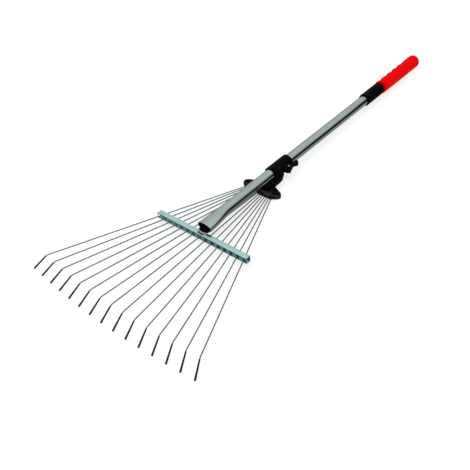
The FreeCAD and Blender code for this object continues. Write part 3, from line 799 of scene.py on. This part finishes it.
outside = eased([(COLLAR_FRONT, ENTRY_R), (COLLAR_FRONT, COLLAR_R - COLLAR_EDGE),
                 (COLLAR_FRONT + COLLAR_EDGE, COLLAR_R)], 0.5, closed=False)
lands = np.linspace(FLUTE_FRONT - 1, FLUTE_BACK + 1, 41)
lands = np.stack([lands, 0 * lands + COLLAR_R], 1)
back = eased([(COLLAR_END - COLLAR_EDGE, COLLAR_R), (COLLAR_END, COLLAR_R - COLLAR_EDGE), COLLAR_BORE[0]],
             0.5, closed=False)
collar_profile = np.concatenate([outside, lands, back, COLLAR_BORE[1:]])
collar = surface("lock_collar", [fluted(*collar_profile.T)], loop=True)
dress(collar, nylon, "twist_collar", "black_plastic", "twist_collar")


# ---------------------------------------------------------------- grip
# Soft red rubber pushed over the inner tube: finger hollows down the upper left side, a rounded front edge
# and a closed, domed end with a hanging hole through it. The hollows are painted darker with their depth, as
# painted shade.

GRIP_R = 17.0
GRIP_FRONT = 687.0
GRIP_END = 866.0
GRIP_DOME = 10.0
HOLLOWS = 703.0 + 26.5 * np.arange(5)
HOLLOW_DEPTH = 4.5
HOLLOW_CUT_R = 20.0
HOLLOW_SIDE = math.radians(150.0)
HOLLOW_SOFTNESS = 0.6
HANG_HOLE_Y = 849.0
HANG_HOLE_R = 4.0


def grip_skin(along, radius):
    """Rings of the grip: the smooth minimum, (a + b - sqrt((a-b)(a-b) + ee)) / 2, of the plain radius and
    of the hollows, a round cutter of radius R across the grip, u / cos of the angle from their side."""
    angle = np.linspace(0, 2 * np.pi, 144, endpoint=False)[None, :]
    along = along[:, None]
    away = np.clip(np.abs(along - HOLLOWS[None, :]), 0, HOLLOW_CUT_R - 0.01).min(1, keepdims=True)
    cut = GRIP_R + HOLLOW_CUT_R - HOLLOW_DEPTH - np.sqrt(HOLLOW_CUT_R ** 2 - away ** 2)
    lean = np.clip(np.cos(angle - HOLLOW_SIDE), 0.05, None)
    gap = cut / lean - radius[:, None]
    sunk = (gap - np.sqrt(gap ** 2 + HOLLOW_SOFTNESS ** 2)) / 2
    r = radius[:, None] + np.where(radius[:, None] > INNER_R + 1, sunk, 0)
    return on_pole(r * np.cos(angle), along, r * np.sin(angle))


GRIP_BORE_R = INNER_R + 0.05
front_edge = eased([(GRIP_FRONT, GRIP_BORE_R), (GRIP_FRONT, GRIP_R), (GRIP_FRONT + 4, GRIP_R)],
                   2.2, 8, closed=False)
barrel = np.linspace(GRIP_FRONT + 4.5, GRIP_END - GRIP_DOME, 150)
dome = np.linspace(0, np.pi / 2, 14)[1:]
dome_ring = np.stack([GRIP_END - GRIP_DOME * (1 - np.sin(dome)), GRIP_R - GRIP_DOME * (1 - np.cos(dome))], 1)
bore = [(GRIP_END, 0.0), (INNER_END + 0.1, 0.0), (INNER_END + 0.1, GRIP_BORE_R), (GRIP_FRONT, GRIP_BORE_R)]
grip_profile = np.concatenate([front_edge, np.stack([barrel, 0 * barrel + GRIP_R], 1), dome_ring])
grip_outer = grip_skin(*grip_profile.T)
grip_bore = turned(bore, grip_outer.shape[1])
grip = surface("finger_grip", [np.concatenate([grip_outer, grip_bore])])
hole_drill = surface("hole_drill", [turned([(-30, 0), (-30, HANG_HOLE_R), (30, HANG_HOLE_R), (30, 0)], 48,
                                           lambda x, y, z: on_pole(y, HANG_HOLE_Y + x, z))])
drilled = grip.modifiers.new("drilled", "BOOLEAN")
drilled.operation = "DIFFERENCE"
drilled.object = hole_drill
bored = bpy.data.meshes.new_from_object(grip.evaluated_get(bpy.context.evaluated_depsgraph_get()))
bpy.data.objects.remove(hole_drill)
bpy.data.objects.remove(grip)
skin = np.empty(len(bored.vertices) * 3, np.float32)
bored.vertices.foreach_get("co", skin)
skin = (skin.reshape(-1, 3) - pole_start) / MM
skin_along = skin @ pole_way
skin_radius = np.hypot(skin @ across, skin @ pole_up)
on_barrel = (skin_along > GRIP_FRONT + 4) & (skin_along < HOLLOWS[-1] + 15) & (skin_radius > INNER_R + 1)
# Each point's depth into the finger hollows, 0 to 1, is kept for the painted shade below.
mark(bored, "painted_hollow_shade", on_barrel * np.clip((GRIP_R - skin_radius) / HOLLOW_DEPTH * 1.6 - 0.1, 0, 1))
grip = settled("finger_grip", bored)
grip_rubber = finish("grip_rubber", moulded_skin, {
    "Base": (0.72, 0.0004, 0.0004, 1), "Dust": (0.52, 0.006, 0.005, 1), "Dust Amount": 0.4,
    "Grain Size": 800, "Roughness": 0.5, "Scuffing": 0.4}, 0.05, Specular_IOR_Level=0.02)
# Painted shade: the rubber's colour darkens towards deep red with the hollows' depth.
tinted(grip_rubber, "painted_hollow_shade", (0.05, 0.0, 0.0, 1), 0.85)
dress(grip, grip_rubber, "inner_pole", "grip_red", "hand_grip")
